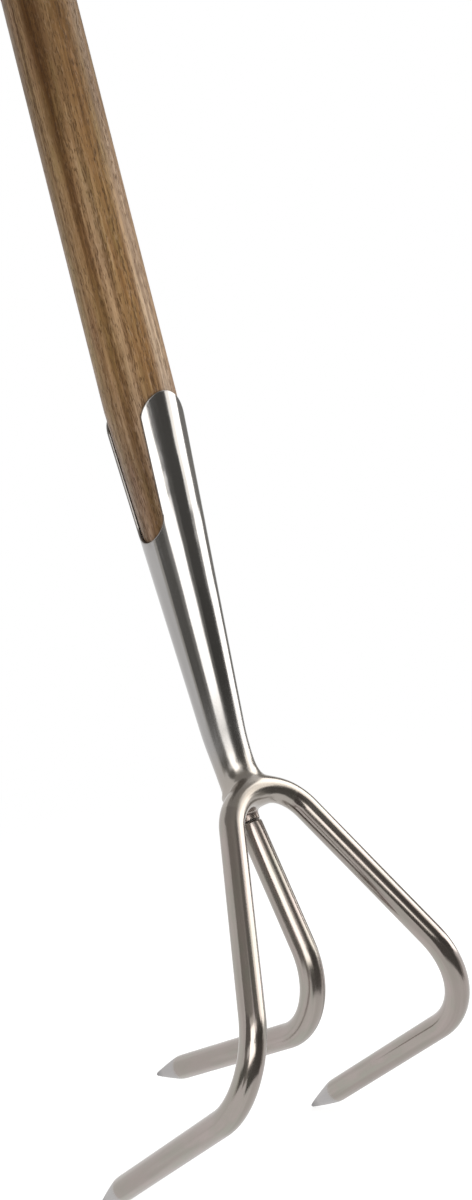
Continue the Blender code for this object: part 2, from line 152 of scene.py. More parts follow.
class Nodes:
    """Short calls that add nodes to one material or world and link them."""

    def __init__(self, owner):
        owner.use_nodes = True
        self.tree = owner.node_tree
        self.tree.nodes.clear()

    def add(self, kind, **settings):
        node = self.tree.nodes.new("ShaderNode" + kind)
        for name, value in settings.items():
            setattr(node, name, value)
        return node

    def put(self, socket, value):
        """Links an output to the socket or sets the socket's own value; None leaves it alone."""
        if isinstance(value, bpy.types.NodeSocket):
            self.tree.links.new(value, socket)
        elif value is not None:
            socket.default_value = value

    def math(self, operation, a, b=None, c=None):
        node = self.add("Math", operation=operation)
        for socket, value in zip(node.inputs, (a, b, c)):
            self.put(socket, value)
        return node.outputs[0]

    def scaled(self, vector, scale):
        node = self.add("VectorMath", operation="MULTIPLY")
        self.put(node.inputs[0], vector)
        node.inputs[1].default_value = scale
        return node.outputs[0]

    def noise(self, vector, scale, detail=3.0, rough=0.5, warp=0.0):
        node = self.add("TexNoise")
        self.put(node.inputs["Vector"], self.scaled(vector, scale))
        node.inputs["Scale"].default_value = 1.0
        node.inputs["Detail"].default_value = detail
        node.inputs["Roughness"].default_value = rough
        node.inputs["Distortion"].default_value = warp
        return node.outputs["Fac"]

    def ramp(self, value, stops):
        """A soft curve through (place, grey) stops."""
        node = self.add("ValToRGB")
        self.put(node.inputs[0], value)
        ramp = node.color_ramp
        ramp.interpolation = "EASE"
        while len(ramp.elements) < len(stops):
            ramp.elements.new(0.5)
        for element, (place, grey) in zip(ramp.elements, stops):
            element.position = place
            element.color = (grey, grey, grey, 1.0)
        return node.outputs[0]

    def spread(self, value, low, high, to_low=0.0, to_high=1.0):
        node = self.add("MapRange")
        self.put(node.inputs["Value"], value)
        node.inputs["From Min"].default_value = low
        node.inputs["From Max"].default_value = high
        node.inputs["To Min"].default_value = to_low
        node.inputs["To Max"].default_value = to_high
        return node.outputs["Result"]

    def mix(self, share, a, b, blend="MIX"):
        node = self.add("Mix", data_type="RGBA", blend_type=blend)
        for socket, value in zip((node.inputs[0], node.inputs[6], node.inputs[7]), (share, a, b)):
            if isinstance(value, tuple):
                value = (*value, 1.0)
            self.put(socket, value)
        return node.outputs[2]

    def bump(self, height, distance, normal=None):
        node = self.add("Bump")
        node.inputs["Strength"].default_value = 1.0
        node.inputs["Distance"].default_value = distance
        self.put(node.inputs["Height"], height)
        self.put(node.inputs["Normal"], normal)
        return node.outputs["Normal"]

    def grain(self):
        """Metres along and around the piece as if it were straight."""
        return self.add("Attribute", attribute_name="grain").outputs["Vector"]

    def stored(self, name):
        """A number that the mesh carries at its points."""
        return self.add("Attribute", attribute_name=name).outputs["Fac"]

    def upward(self, vector):
        """The third part of a vector: a place's height, or how far a normal faces up."""
        node = self.add("SeparateXYZ")
        self.put(node.inputs[0], vector)
        return node.outputs[2]

    def openness(self, reach):
        """1 in the open, less in a slot or a joint that is narrower than the reach."""
        node = self.add("AmbientOcclusion", samples=8)
        node.inputs["Distance"].default_value = reach
        return node.outputs["AO"]


def surface(name):
    material = bpy.data.materials.new(name)
    nodes = Nodes(material)
    shader = nodes.add("BsdfPrincipled")
    out = nodes.add("OutputMaterial")
    nodes.tree.links.new(shader.outputs[0], out.inputs[0])
    return material, nodes, shader.inputs


# Materials

ROD_STEEL = (0.385, 0.352, 0.318)


def steel(name, colour, roughness, wave, scratch, finish, swell=None):
    """Stainless steel: faint hand-made waves, fine lines along the piece, soft smears."""
    material, n, s = surface(name)
    p = n.grain()
    waves = n.noise(p, (62.0, 62.0, 42.0), 1.5, 0.4)
    if swell:
        waves = n.math("MULTIPLY", waves, swell(n, p))
    lines = n.noise(p, (2400.0, 2400.0, 38.0), 2.0, 0.6)
    smears = n.noise(p, (150.0, 150.0, 26.0), 3.0, 0.6)
    grains = n.noise(p, (1500.0, 1500.0, 900.0), 2.0, 0.7)
    dark = tuple(c * 0.90 for c in colour)
    paint = n.mix(n.spread(smears, 0.3, 0.7), colour, dark)
    rough = n.spread(smears, 0.25, 0.75, roughness - 0.03, roughness + 0.04)
    rough = n.math("ADD", rough, n.spread(lines, 0.3, 0.7, -0.02, 0.03))
    paint, rough = finish(n, p, paint, rough)
    n.put(s["Base Color"], paint)
    n.put(s["Roughness"], rough)
    normal = n.bump(waves, wave)
    normal = n.bump(lines, scratch, normal)
    n.put(s["Normal"], n.bump(grains, scratch * 0.6, normal))
    s["Metallic"].default_value = 1.0
    return material


def more_waves_on_straps(n, p):
    return n.spread(n.upward(p), 0.20, 0.26, 0.35, 3.0)


def socket_finish(n, p, paint, rough):
    """The steel turns warmer towards the arch and is tinted by heat beneath it; its cut edges are rougher
    and carry a painted dark reflection.
    """
    height = n.upward(p)
    paint = n.mix(n.spread(height, 0.166, 0.150), paint, ROD_STEEL)
    cloud = n.noise(p, (700.0, 700.0, 700.0), 4.0, 0.65, 0.8)
    faces_down = n.spread(n.upward(n.add("NewGeometry").outputs["Normal"]), -0.30, -0.65)
    tinted = n.math("MULTIPLY", faces_down, n.spread(cloud, 0.42, 0.60))
    tinted = n.math("MULTIPLY", tinted, n.spread(height, 0.166, 0.156))
    tinted = n.math("MULTIPLY", tinted, n.spread(height, 0.1490, 0.1515))
    paint = n.mix(n.math("MULTIPLY", tinted, 0.6), paint, (0.270, 0.205, 0.195))
    rough = n.math("MULTIPLY_ADD", tinted, 0.12, rough)
    # the straps' cut edges: a painted dark reflection of the wood, and a rougher finish
    edge = n.stored("edge")
    paint = n.mix(n.math("MULTIPLY", edge, 0.62), paint, (0.095, 0.078, 0.062))
    rough = n.math("MULTIPLY_ADD", edge, 0.25, rough)
    softer_at_foot = n.spread(height, 0.190, 0.172, 0.0, 0.09)
    return paint, n.math("ADD", rough, softer_at_foot)


def tinted_by_heat(n, p, paint, rough):
    """Straw and rose tints and a duller skin where the middle tine was welded on."""
    in_bead = n.stored("in_bead")
    cloud = n.noise(p, (420.0, 420.0, 420.0), 4.0, 0.6, 0.6)
    tint = n.math("MULTIPLY", n.spread(cloud, 0.38, 0.62, 0.0, 0.7), in_bead)
    dull = n.math("MULTIPLY", n.spread(cloud, 0.35, 0.65, 0.0, 0.14), in_bead)
    return n.mix(tint, paint, (0.40, 0.305, 0.285)), n.math("ADD", rough, dull)


def painted_shade_in_slot(n, p, paint, rough):
    """Painted shade in the screw's slot and along its rim, darker where the AO finds a recess."""
    painted_shade = n.spread(n.openness(0.0012), 0.95, 0.70, 0.0, 0.90)
    return n.mix(painted_shade, paint, (0.030, 0.026, 0.022)), rough


def ground_tips(n, p, paint, rough):
    """Mottled below the arch; the ground points are paler, cooler and duller, and dark at their ends."""
    from_tip = n.stored("from_tip")
    below_arch = n.spread(from_tip, 0.240, 0.215, 0.0, 0.85)
    ground = n.spread(from_tip, 0.0212, 0.0188)
    point = n.spread(from_tip, 0.0085, 0.0010)
    streak = n.noise(p, (330.0, 330.0, 12.0), 2.0, 0.5)
    patch = n.noise(p, (190.0, 190.0, 60.0), 3.0, 0.6)
    pink = n.math("MULTIPLY", n.spread(patch, 0.42, 0.62), below_arch)
    green = n.math("MULTIPLY", n.spread(patch, 0.46, 0.30), below_arch)
    paint = n.mix(pink, paint, (0.400, 0.345, 0.325))
    paint = n.mix(green, paint, (0.350, 0.342, 0.300))
    paint = n.mix(n.spread(streak, 0.40, 0.62, 0.0, 0.50), paint, (0.285, 0.250, 0.228))
    paint = n.mix(n.math("MULTIPLY", ground, 0.85), paint, (0.425, 0.412, 0.412))
    paint = n.mix(n.math("MULTIPLY", point, 0.62), paint, (0.12, 0.115, 0.12))
    return paint, n.math("MULTIPLY_ADD", ground, 0.22, rough)


RING_X, RING_Y = -50.7, 43.3    # direction across the rings, over the handle's radius


def ash(name):
    """Oiled ash cut along its rings: broad dark and pale stripes, rows of open pores, fine fibre."""
    material, n, s = surface(name)
    place = n.add("TexCoord").outputs["Object"]
    parts = n.add("SeparateXYZ")
    n.put(parts.inputs[0], place)
    x, y, z = parts.outputs
    drift = n.noise(place, (12.0, 12.0, 7.0), 2.0, 0.5)
    wander = n.noise(place, (90.0, 90.0, 26.0), 3.0, 0.55)
    across = n.math("MULTIPLY_ADD", x, RING_X, n.math("MULTIPLY_ADD", y, RING_Y, -RING_Y * AXIS_Y))
    deep = n.math("MULTIPLY_ADD", x, RING_Y, n.math("MULTIPLY_ADD", y, -RING_X, RING_X * AXIS_Y))
    ring = n.math("MULTIPLY_ADD", n.math("MULTIPLY", deep, deep), -0.05, across)
    ring = n.math("MULTIPLY_ADD", drift, 0.30, n.math("ADD", ring, -0.10))
    ring = n.math("MULTIPLY_ADD", wander, 0.10, n.math("ADD", ring, -0.05))

    # one broad dark stripe, wider higher up, and the narrow rings
    wider = n.spread(z, 0.38, 0.50, 1.0, 3.2)
    inside = n.math("ADD", ring, 0.42)
    inside = n.math("MINIMUM", inside, n.math("DIVIDE", inside, wider))
    stripe = n.ramp(n.math("ADD", inside, 0.5),
                    [(0.38, 0.0), (0.455, 0.72), (0.50, 1.0), (0.58, 0.80), (0.72, 0.0)])
    stripe = n.math("MULTIPLY", stripe, n.spread(z, 0.33, 0.46, 0.52, 0.90))
    rings = n.ramp(n.math("FRACT", n.math("MULTIPLY", ring, 2.60)),
                   [(0.0, 0.0), (0.12, 1.0), (0.36, 0.40), (0.70, 0.0), (1.0, 0.0)])
    lace = n.noise(place, (520.0, 520.0, 11.0), 3.0, 0.62)
    fibre = n.noise(place, (1050.0, 1050.0, 46.0), 3.0, 0.65)
    flecks = n.noise(place, (900.0, 900.0, 240.0), 2.0, 0.6)
    blotch = n.noise(place, (60.0, 60.0, 9.0), 2.0, 0.5)
    hue = n.noise(place, (130.0, 130.0, 16.0), 3.0, 0.6)

    # broad colours first, then the grain over them
    base = n.mix(n.spread(blotch, 0.35, 0.65), (0.300, 0.162, 0.062), (0.245, 0.134, 0.050))
    base = n.mix(n.spread(across, -0.30, -0.75, 0.0, 0.75), base, (0.300, 0.200, 0.108))
    # paler wood along the right edge, and partly a painted sheen of the side lamp; less of it higher up
    edge = n.spread(across, 0.55, 0.95, 0.0, 0.55)
    edge = n.math("MULTIPLY", edge, n.spread(z, 0.50, 0.40, 0.25, 1.0))
    base = n.mix(edge, base, (0.400, 0.270, 0.165))
    # painted shade: darker higher up the handle, where the lamps' light falls off
    base = n.mix(n.spread(z, 0.40, 0.54, 0.0, 0.62), base, (0.118, 0.062, 0.018))
    base = n.mix(n.spread(hue, 0.52, 0.68, 0.0, 0.55), base, (0.330, 0.180, 0.110))
    base = n.mix(n.spread(hue, 0.48, 0.34, 0.0, 0.55), base, (0.250, 0.175, 0.062))
    pale = n.math("MULTIPLY", n.spread(ring, -0.36, -0.16), n.spread(ring, 0.14, -0.04))
    pale = n.math("MULTIPLY", pale, n.spread(z, 0.43, 0.37, 0.0, 0.50))
    base = n.mix(pale, base, (0.470, 0.320, 0.190))
    # painted highlight: the side lamp's sheen along the right edge, fading higher up
    sheen = n.math("MULTIPLY", n.spread(across, 0.58, 0.76), n.spread(across, 0.98, 0.86))
    sheen = n.math("MULTIPLY", sheen, n.spread(z, 0.42, 0.32, 0.05, 0.80))
    base = n.mix(sheen, base, (0.560, 0.430, 0.300))
    base = n.mix(n.math("MULTIPLY", rings, 0.50), base, (0.140, 0.070, 0.022))
    for grain, low, high, most, colour in (
            (lace, 0.42, 0.66, 0.60, (0.115, 0.055, 0.017)),
            (lace, 0.44, 0.28, 0.45, (0.410, 0.262, 0.135)),
            (fibre, 0.44, 0.66, 0.42, (0.100, 0.048, 0.016)),
            (fibre, 0.46, 0.28, 0.32, (0.430, 0.280, 0.150)),
            (flecks, 0.54, 0.70, 0.26, (0.430, 0.290, 0.175))):
        base = n.mix(n.spread(grain, low, high, 0.0, most), base, colour)
    base = n.mix(stripe, base, (0.36, 0.27, 0.16), "MULTIPLY")

    # pores stand in rows along the ring boundaries
    rows = n.noise(place, (1150.0, 1150.0, 3.0), 1.0, 0.4)
    dashes = n.noise(place, (3100.0, 3100.0, 300.0), 1.0, 0.5)
    packed = n.math("MULTIPLY_ADD", rings, 0.060, n.math("MULTIPLY_ADD", rows, 0.42, dashes))
    pores = n.spread(packed, 0.820, 0.885)
    base = n.mix(n.math("MULTIPLY", pores, 0.66), base, (0.060, 0.028, 0.010))

    # painted shade in the joint beside the straps, darker where the AO finds the narrow gap; lower down
    # the wood is painted lighter, standing in for the lamps' light that falls off higher up, and cooler
    # just above the straps
    painted_shade = n.spread(n.openness(0.0018), 0.85, 0.50, 0.0, 0.55)
    base = n.mix(painted_shade, base, (0.035, 0.022, 0.014))
    base = n.mix(n.spread(z, 0.46, 0.34, 0.12, 1.0), base, (1.45, 1.46, 1.50), "MULTIPLY")
    base = n.mix(n.spread(z, 0.32, 0.28), base, (0.85, 0.92, 1.16), "MULTIPLY")
    n.put(s["Base Color"], base)
    rough = n.math("ADD", n.spread(fibre, 0.3, 0.7, 0.30, 0.42), n.spread(blotch, 0.3, 0.7, -0.03, 0.05))
    n.put(s["Roughness"], n.math("MULTIPLY_ADD", pores, 0.25, rough))
    s["Specular IOR Level"].default_value = 0.16
    normal = n.bump(lace, 0.00008)
    normal = n.bump(fibre, 0.00005, normal)
    n.put(s["Normal"], n.bump(n.math("SUBTRACT", 1.0, pores), 0.00012, normal))
    return material


# Mesh building

def new_object(name, verts, faces, grain=None, from_tip=None):
    mesh = bpy.data.meshes.new(name)
    mesh.from_pydata([tuple(v) for v in verts], [], faces)
    mesh.update()
    mesh.shade_smooth()
    store_grain(mesh, verts if grain is None else grain)
    if from_tip is not None:
        mesh.attributes.new("from_tip", "FLOAT", "POINT").data.foreach_set("value", from_tip)
    obj = bpy.data.objects.new(name, mesh)
    bpy.context.scene.collection.objects.link(obj)
    return obj


def store_grain(mesh, values):
    layer = mesh.attributes.new("grain", "FLOAT_VECTOR", "POINT")
    layer.data.foreach_set("vector", np.asarray(values, np.float32).ravel())


def rounded_path(corners, radii):
    """Points of a centreline with an arc at each inner corner."""
    path = [corners[0]]
    for before, corner, after, radius in zip(corners, corners[1:], corners[2:], radii):
        back = unit(before - corner)
        ahead = unit(after - corner)
        half = np.arccos(np.clip(back @ ahead, -1, 1)) / 2
        centre = corner + unit(back + ahead) * radius / sin(half)
        outward = unit(corner + back * radius / tan(half) - centre)
        turn = pi - 2 * half
        count = ceil(turn / BEND_STEP)
        for i in range(count + 1):
            angle = turn * i / count
            path.append(centre + radius * (cos(angle) * outward - sin(angle) * back))
    path.append(corners[-1])
    return path


def refined(path):
    """The same path with its long straight runs divided."""
    out = [path[0]]
    for a, b in zip(path, path[1:]):
        count = max(1, ceil(np.linalg.norm(b - a) / RUN_STEP))
        out += [a + (b - a) * i / count for i in range(1, count + 1)]
    return out


def tube(name, path, radii, sides, tips=0):
    """A closed round rod through the points of a path; one or both of its ends can be ground tips."""
    path = np.array(path)
    length = np.linalg.norm(np.diff(path, axis=0), axis=1).sum()
    tangents = np.gradient(path, axis=0)
    tangents /= np.linalg.norm(tangents, axis=1)[:, None]
    side = unit(np.cross(tangents[0], vec(0.3, 0.2, 1.0)))
    travelled = 0.0
    verts, grain, faces = [], [], []
    for i, (point, along, radius) in enumerate(zip(path, tangents, radii)):
        side = unit(side - along * (side @ along))
        other = np.cross(along, side)
        travelled += np.linalg.norm(point - path[i - 1]) if i else 0.0
        for k in range(sides):
            a = 2 * pi * k / sides
            verts.append(point + radius * (cos(a) * side + sin(a) * other))
            grain.append((radius * cos(a), radius * sin(a), travelled))
    for i in range(len(path) - 1):
        for k in range(sides):
            a, b = i * sides + k, i * sides + (k + 1) % sides
            faces.append((a, b, b + sides, a + sides))
    for ring, turn in ((0, -1), (len(path) - 1, 1)):
        verts.append(path[ring])
        grain.append((0.0, 0.0, travelled if ring else 0.0))
        hub = len(verts) - 1
        rim = [ring * sides + k for k in range(sides)]
        faces += [(rim[k], rim[(k + 1) % sides], hub)[::turn] for k in range(sides)]
    gone = np.array([far for x, y, far in grain])
    from_tip = np.minimum(gone, length - gone) if tips > 1 else gone if tips else None
    return new_object(name, verts, faces, grain, from_tip)


TIP_PROFILE = (                 # distance from the point and radius
    (0.0, 0.00008), (0.00008, 0.00030), (0.00035, 0.00052), (0.0010, 0.00082), (0.0035, 0.00148),
    (0.0080, 0.00255), (0.0130, 0.00366), (0.0165, 0.00437), (0.0180, 0.00465), (0.0191, 0.00482),
    (0.0202, 0.00494), (0.0215, ROD),
)


def ground_tip(tip, inward):
    along = unit(inward - tip)
    return [tip + along * far for far, radius in TIP_PROFILE], [radius for far, radius in TIP_PROFILE]


def build_outer_rod():
    right_bend, right_tip = from_axis(*OUTER_BEND), from_axis(*OUTER_TIP)
    mirror = vec(-1, 1, 1)
    apex = from_axis(0.0, *ARCH_APEX)
    corners = [right_tip, right_bend, apex, right_bend * mirror, right_tip * mirror]
    path = rounded_path(corners, (OUTER_BEND_RADII[0], ARCH_RADIUS, OUTER_BEND_RADII[1]))
    first, first_radii = ground_tip(path[0], path[1])
    last, last_radii = ground_tip(path[-1], path[-2])
    middle = refined([first[-1]] + path[1:-1] + [last[-1]])[1:-1]
    full = first + middle + last[::-1]
    radii = first_radii + [ROD] * len(middle) + last_radii[::-1]
    return tube("outer_rod", full, radii, ROD_SIDES, tips=2)


def arch_frame():
    """Centre of the arch's bend, its up and across directions, and half of its turn."""
    bend, apex = from_axis(*OUTER_BEND), from_axis(0.0, *ARCH_APEX)
    foot = vec(0.0, bend[1], bend[2])
    up = unit(apex - foot)
    half_turn = pi / 2 - atan2(bend[0], np.linalg.norm(apex - foot))
    centre = apex - up * ARCH_RADIUS / cos(half_turn)
    return centre, up, np.cross(vec(1, 0, 0), up), half_turn


def neck_foot():
    centre, up, across, half_turn = arch_frame()
    return centre + up * ARCH_RADIUS - vec(0.0, NECK_AHEAD, NECK_DROP)


def middle_top():
    return neck_foot() - vec(0.0, MIDDLE_TOP_AHEAD, NECK_FOOT_DEPTH + WELD_LENGTH)


def build_middle_rod():
    corners = [from_axis(*MIDDLE_TIP), from_axis(*MIDDLE_BEND), middle_top()]
    path = rounded_path(corners, (MIDDLE_BEND_RADIUS,))
    first, first_radii = ground_tip(path[0], path[1])
    along = unit(path[-1] - path[-2])
    # the rounded rim of the cut end: how far it is set in, and how far back from the cut
    cut = ((0.0007, 0.0), (0.00042, 0.00008), (0.0002, 0.0003), (0.00005, 0.0006), (0.0, 0.0009))
    last = [path[-1] - along * (GAP / 2 + back) for inset, back in cut][::-1]
    last_radii = [ROD - inset for inset, back in cut][::-1]
    middle = refined([first[-1]] + path[1:-1] + [last[0]])[1:-1]
    radii = first_radii + [ROD] * len(middle) + last_radii
    return tube("middle_rod", first + middle + last, radii, ROD_SIDES, tips=1)


# Signed distances around the neck, for one smooth skin over neck, arch and weld

def cone_radius(z):
    return NECK_TOP_RADIUS + CONE_SLOPE * (z - NECK_TOP_Z)


def neck_distance(p):
    """The neck leans forward and thins towards its foot, which is closed by a flat dome."""
    foot = neck_foot()
    share = np.clip((NECK_TOP_Z - p[:, 2]) / (NECK_TOP_Z - foot[2]), 0.0, 1.0)
    centre_y = AXIS_Y + (foot[1] - AXIS_Y) * share ** 2.0
    radius = NECK_RADIUS + (NECK_TOP_RADIUS - NECK_RADIUS) * (1.0 - share) ** 1.69
    radius = np.where(p[:, 2] > NECK_TOP_Z, cone_radius(p[:, 2]), radius)
    below = np.maximum(foot[2] - p[:, 2], 0.0) * NECK_RADIUS / NECK_FOOT_DEPTH
    centre_x = -0.0005 * smooth_step(share, 0.0, 0.6)
    return np.sqrt((p[:, 0] - centre_x) ** 2 + (p[:, 1] - centre_y) ** 2 + below ** 2) - radius


def arch_distance(p):
    """The arch rod, a hair proud of the tines' own rod and sinking into it at both ends."""
    centre, up, across, half_turn = arch_frame()
    x = np.abs(p[:, 0])
    w = (p - centre) @ up
    h = (p - centre) @ across
    radius = ROD + 0.00003 - 0.00008 * smooth_step(np.arctan2(x, w), 0.70, 0.98)
    in_bend = np.hypot(x, w) - ARCH_RADIUS
    on_leg = (x - ARCH_RADIUS * sin(half_turn)) * sin(half_turn)
    on_leg += (w - ARCH_RADIUS * cos(half_turn)) * cos(half_turn)
    off = np.where(np.arctan2(x, w) < half_turn, in_bend, on_leg)
    return np.hypot(off, h) - radius


def weld_distance(p):
    """A stub that leaves the middle tine's cut end and widens a little into the neck."""
    top = middle_top()
    along = unit(top - from_axis(*MIDDLE_BEND))
    rel = p - top
    s = rel @ along
    radius = STUB_RADIUS + STUB_FLARE * np.clip(s, 0.0, STUB_LENGTH)
    off = np.linalg.norm(rel - s[:, None] * along, axis=1) - radius
    ends = np.maximum(GAP * 0.5 - s, s - STUB_LENGTH)
    return np.maximum(off, ends)


def blended(a, b, reach):
    """Smooth union: the two surfaces flow together within the given reach."""
    h = np.maximum(reach - np.abs(a - b), 0.0) / reach
    return np.minimum(a, b) - h ** 3 * reach / 6.0


def neck_and_arch(p):
    """The neck flares out towards the arch, whose own round stays crisp on top of the flare."""
    arch = arch_distance(p)
    flare = blended(neck_distance(p), arch + FLARE_SUNK, FLARE_REACH)
    return blended(flare, arch, ARCH_REACH)


def skin_distance(p):
    return blended(neck_and_arch(p), weld_distance(p), WELD_REACH)


def depth_in_bead(p):
    """How far a point lies on the weld's side of its seam with the neck and the arch."""
    return neck_and_arch(p) + SEAM_SHIFT - weld_distance(p)


def gradient(field, p):
    step = 2e-5
    cols = []
    for axis in np.eye(3) * step:
        cols.append((field(p + axis) - field(p - axis)) / (2 * step))
    return np.array(cols).T


def drawn_to_skin(points):
    """The points after four short steps down the slope of the skin's distance."""
    for i in range(4):
        slope = gradient(skin_distance, points)
        size = np.maximum((slope ** 2).sum(1), 0.05)
        points = points - np.clip(skin_distance(points) / size, -0.0012, 0.0012)[:, None] * slope
    return points


# The socket

def places(form):
    return np.array([v.co for v in form.verts], float)


def near_crease(form):
    """The vertices near the weld's fillet, and their places."""
    points = places(form)
    near = np.abs(neck_and_arch(points) - weld_distance(points)) < CREASE_REACH
    form.verts.ensure_lookup_table()
    return [form.verts[k] for k in np.flatnonzero(near)], points[near]


def split_crease(form):
    """Finer faces along the weld's fillet, which turns more sharply than the even mesh can follow."""
    for i in range(2):
        inside = set(near_crease(form)[0])
        edges = [e for e in form.edges if e.verts[0] in inside and e.verts[1] in inside]
        bmesh.ops.subdivide_edges(form, edges=edges, cuts=1, use_grid_fill=True)
        verts, points = near_crease(form)
        for v, point in zip(verts, drawn_to_skin(points)):
            v.co = point


def rough_skin():
    """Neck, arch and stub as plain tubes, joined into one object."""
    foot = neck_foot()
    centre, up, across, half_turn = arch_frame()
    neck = [vec(0, AXIS_Y, COLLAR_Z + 0.004), vec(0, AXIS_Y, NECK_TOP_Z), vec(0, AXIS_Y + 0.001, 0.158),
            foot, foot - vec(0, 0, NECK_FOOT_DEPTH * 0.9)]
    neck_radii = [NECK_TOP_RADIUS, NECK_TOP_RADIUS, NECK_RADIUS, NECK_RADIUS, 0.004]
    angles = np.linspace(-1.15, 1.15, 40)
    arch = [centre + ARCH_RADIUS * (sin(a) * vec(1, 0, 0) + cos(a) * up) for a in angles]
    top = middle_top()
    along = unit(top - from_axis(*MIDDLE_BEND))
    stub = [top + along * far for far in (0.0002, 0.004, 0.009)]
    rough = tube("rough_neck", neck, neck_radii, ROUGH_SIDES)
    others = (tube("rough_arch", arch, [ROD + 0.0002] * len(arch), ROUGH_SIDES),
              tube("rough_stub", stub, [STUB_RADIUS, 0.0050, 0.0055], ROUGH_SIDES))
    for other in others:
        both = [rough, other]
        with bpy.context.temp_override(active_object=rough, selected_editable_objects=both):
            bpy.ops.object.join()
    return rough


def cut_off(form, place, outward):
    """Removes what lies beyond a plane."""
    geometry = form.verts[:] + form.edges[:] + form.faces[:]
    bmesh.ops.bisect_plane(form, geom=geometry, plane_co=place, plane_no=outward, clear_outer=True)


def voxel_skin():
    """The rough skin remeshed evenly, drawn onto the smooth one, and open at the collar and the legs."""
    rough = rough_skin()
    remesh = rough.modifiers.new("even", "REMESH")
    remesh.mode = "VOXEL"
    remesh.voxel_size = SKIN_VOXEL
    mesh = bpy.data.meshes.new_from_object(rough.evaluated_get(bpy.context.evaluated_depsgraph_get()))
    bpy.data.objects.remove(rough, do_unlink=True)
    form = bmesh.new()
    form.from_mesh(mesh)
    for i in range(4):
        if i:
            bmesh.ops.smooth_vert(form, verts=form.verts, factor=0.5,
                                  use_axis_x=True, use_axis_y=True, use_axis_z=True)
        for v, point in zip(form.verts, drawn_to_skin(places(form))):
            v.co = point
    split_crease(form)
    centre, up, across, half_turn = arch_frame()
    cut_off(form, (0, 0, COLLAR_Z), (0, 0, 1))
    for side in (-1, 1):
        cut_off(form, centre, Vector(vec(side, 0, 0) * cos(ARCH_END) - up * sin(ARCH_END)))
    return form


def half_opening(z):
    """Half the angle that each strap covers around the axis at a height."""
    radius = cone_radius(z)
    if z <= WINDOW_FOOT_Z:
        return pi / 2
    if z < WINDOW_CENTRE_Z:
        width = sqrt(max(WINDOW_ROUND ** 2 - (WINDOW_CENTRE_Z - z) ** 2, 0.0))
    else:
        share = (z - WINDOW_CENTRE_Z) / (CONE_TOP_Z - WINDOW_CENTRE_Z)
        width = WINDOW_ROUND + (WINDOW_TOP_HALF - WINDOW_ROUND) * share
    angle = pi / 2 - np.arcsin(min(width / radius, 1.0))
    if z > SHOULDER_Z:
        half = sqrt(max(STRAP_ROUND ** 2 - (z - SHOULDER_Z) ** 2, 0.0))
        angle = min(angle, np.arcsin(min(half / radius, 1.0)))
    return angle


def socket_levels():
    """Heights of the cone's rings: closer where the windows' feet and the straps' tops turn."""
    low = list(np.linspace(COLLAR_Z, WINDOW_FOOT_Z - EDGE_ROUND, 26))
    low += [WINDOW_FOOT_Z - EDGE_ROUND * share for share in (0.6, 0.35, 0.15, 0.05, 0.0)]
    turns = np.linspace(0, pi / 2, 25)
    foot = [WINDOW_FOOT_Z + WINDOW_ROUND * (1 - cos(t)) for t in turns]
    middle = list(np.linspace(foot[-1], SHOULDER_Z, 12)[1:-1])
    top = [SHOULDER_Z + STRAP_ROUND * sin(t) for t in turns]
    return low + foot[1:] + middle + top[:-1] + [CONE_TOP_Z - 0.000002]


def edge_distance(angle, half, z):
    """Distance on the surface from the strap's outline, or from the window's foot below it."""
    radius = cone_radius(z)
    level = (half - abs(angle)) * radius if z > WINDOW_FOOT_Z else 1.0
    if z > SHOULDER_Z:
        from_centre = sqrt((radius * sin(abs(angle))) ** 2 + (z - SHOULDER_Z) ** 2)
        level = min(level, STRAP_ROUND - from_centre)
    if z < WINDOW_CENTRE_Z:
        from_centre = sqrt((radius * cos(angle)) ** 2 + (WINDOW_CENTRE_Z - z) ** 2)
        level = min(level, from_centre - WINDOW_ROUND)
    return max(level, 0.0)


def strap_columns(half):
    """Angles from edge to edge, crowded near both edges."""
    t = np.linspace(-1, 1, COLUMNS + 1)
    return half * (0.35 * t + 0.65 * np.sin(t * pi / 2))


def strap_ring(form, z, half, facing):
    """Outer and inner points across one strap, sunk towards each other along its edges."""
    edge = form.verts.layers.float["edge"]
    most = 1.0 if facing > 0 else REAR_PAINTED_EDGE_SHARE
    outer, inner = [], []
    for angle in strap_columns(half):
        from_edge = edge_distance(angle, half, z)
        inset = max(EDGE_ROUND - from_edge, 0.0)
        drop = EDGE_ROUND - sqrt(EDGE_ROUND ** 2 - inset ** 2)
        for ring, depth in ((outer, drop), (inner, WALL - drop * 0.6)):
            radius = cone_radius(z) - depth
            v = form.verts.new((facing * radius * sin(angle), AXIS_Y + facing * radius * cos(angle), z))
            # share of the painted dark reflection along the cut edge
            v[edge] = max(1.0 - from_edge / PAINTED_EDGE_WIDTH, 0.0) * most
            ring.append(v)
    return outer, inner


def add_cone(form):
    """The straight part of the socket with its two straps, as a shell with rounded edges."""
    for facing in (1, -1):
        before = None
        for z in socket_levels():
            outer, inner = strap_ring(form, z, half_opening(z), facing)
            if before:
                pairs = [(before[0], outer, 1)]
                if z > HOLLOW_Z:
                    pairs.append((before[1], inner, -1))
                for below, above, flip in pairs:
                    for k in range(COLUMNS):
                        form.faces.new((below[k], below[k + 1], above[k + 1], above[k])[::flip])
                if z > WINDOW_FOOT_Z:
                    form.faces.new((before[0][-1], before[1][-1], inner[-1], outer[-1]))
                    form.faces.new((before[1][0], before[0][0], outer[0], inner[0]))
            before = (outer, inner)
        for k in range(COLUMNS):
            form.faces.new((before[0][k], before[0][k + 1], before[1][k + 1], before[1][k]))


def collar_edges(form):
    """The open edges at the collar's height."""
    return [e for e in form.edges
            if e.is_boundary and all(abs(v.co.z - COLLAR_Z) < 1e-6 for v in e.verts)]


